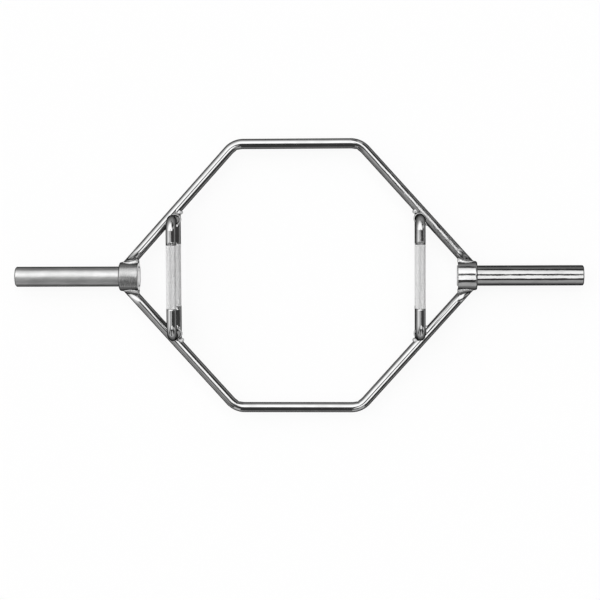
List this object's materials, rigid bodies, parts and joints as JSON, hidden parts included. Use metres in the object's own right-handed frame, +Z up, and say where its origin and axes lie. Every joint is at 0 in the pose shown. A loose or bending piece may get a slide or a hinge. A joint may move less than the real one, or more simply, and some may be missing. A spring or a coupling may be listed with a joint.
{
  "type": "hex trap bar",
  "caption": "Hexagonal chrome deadlift bar: bent round bars welded to collars with plate sleeves at both ends, and low and raised knurled grips at each side.",
  "frame": {"origin": "on the floor under the middle of the bar, level with the lowest line of both collars", "axes": "+X along the sleeves to the right, +Y across the hexagon to the rear long side, +Z up, towards the raised grips"},
  "size_m": [1.41, 0.6804, 0.1535],
  "materials": {
    "frame_chrome": "bright chrome plate on polished steel bar",
    "collar_chrome": "bright chrome plate over turned steel",
    "sleeve_chrome": "chrome plate over fine turning marks, satin where plates slide",
    "grip_chrome": "bright chrome plate with a diamond-knurled band",
    "weld_chrome": "chrome plate over rippled weld beads"
  },
  "bodies": {
    "root": {"front_frame_bar": "frame_chrome", "front_left_collar_weld": "weld_chrome", "front_left_high_grip_weld": "weld_chrome", "front_left_low_grip_inner_weld": "weld_chrome", "front_left_low_grip_outer_weld": "weld_chrome", "front_right_collar_weld": "weld_chrome", "front_right_high_grip_weld": "weld_chrome", "front_right_low_grip_inner_weld": "weld_chrome", "front_right_low_grip_outer_weld": "weld_chrome", "left_collar": "collar_chrome", "left_high_grip": "grip_chrome", "left_low_grip": "grip_chrome", "left_sleeve": "sleeve_chrome", "left_sleeve_end_plug": "sleeve_chrome", "left_sleeve_inner_plug": "sleeve_chrome", "left_sleeve_weld": "weld_chrome", "rear_frame_bar": "frame_chrome", "rear_left_collar_weld": "weld_chrome", "rear_left_high_grip_weld": "weld_chrome", "rear_left_low_grip_inner_weld": "weld_chrome", "rear_left_low_grip_outer_weld": "weld_chrome", "rear_right_collar_weld": "weld_chrome", "rear_right_high_grip_weld": "weld_chrome", "rear_right_low_grip_inner_weld": "weld_chrome", "rear_right_low_grip_outer_weld": "weld_chrome", "right_collar": "collar_chrome", "right_high_grip": "grip_chrome", "right_low_grip": "grip_chrome", "right_sleeve": "sleeve_chrome", "right_sleeve_end_plug": "sleeve_chrome", "right_sleeve_inner_plug": "sleeve_chrome", "right_sleeve_weld": "weld_chrome"}
  },
  "joints": []
}
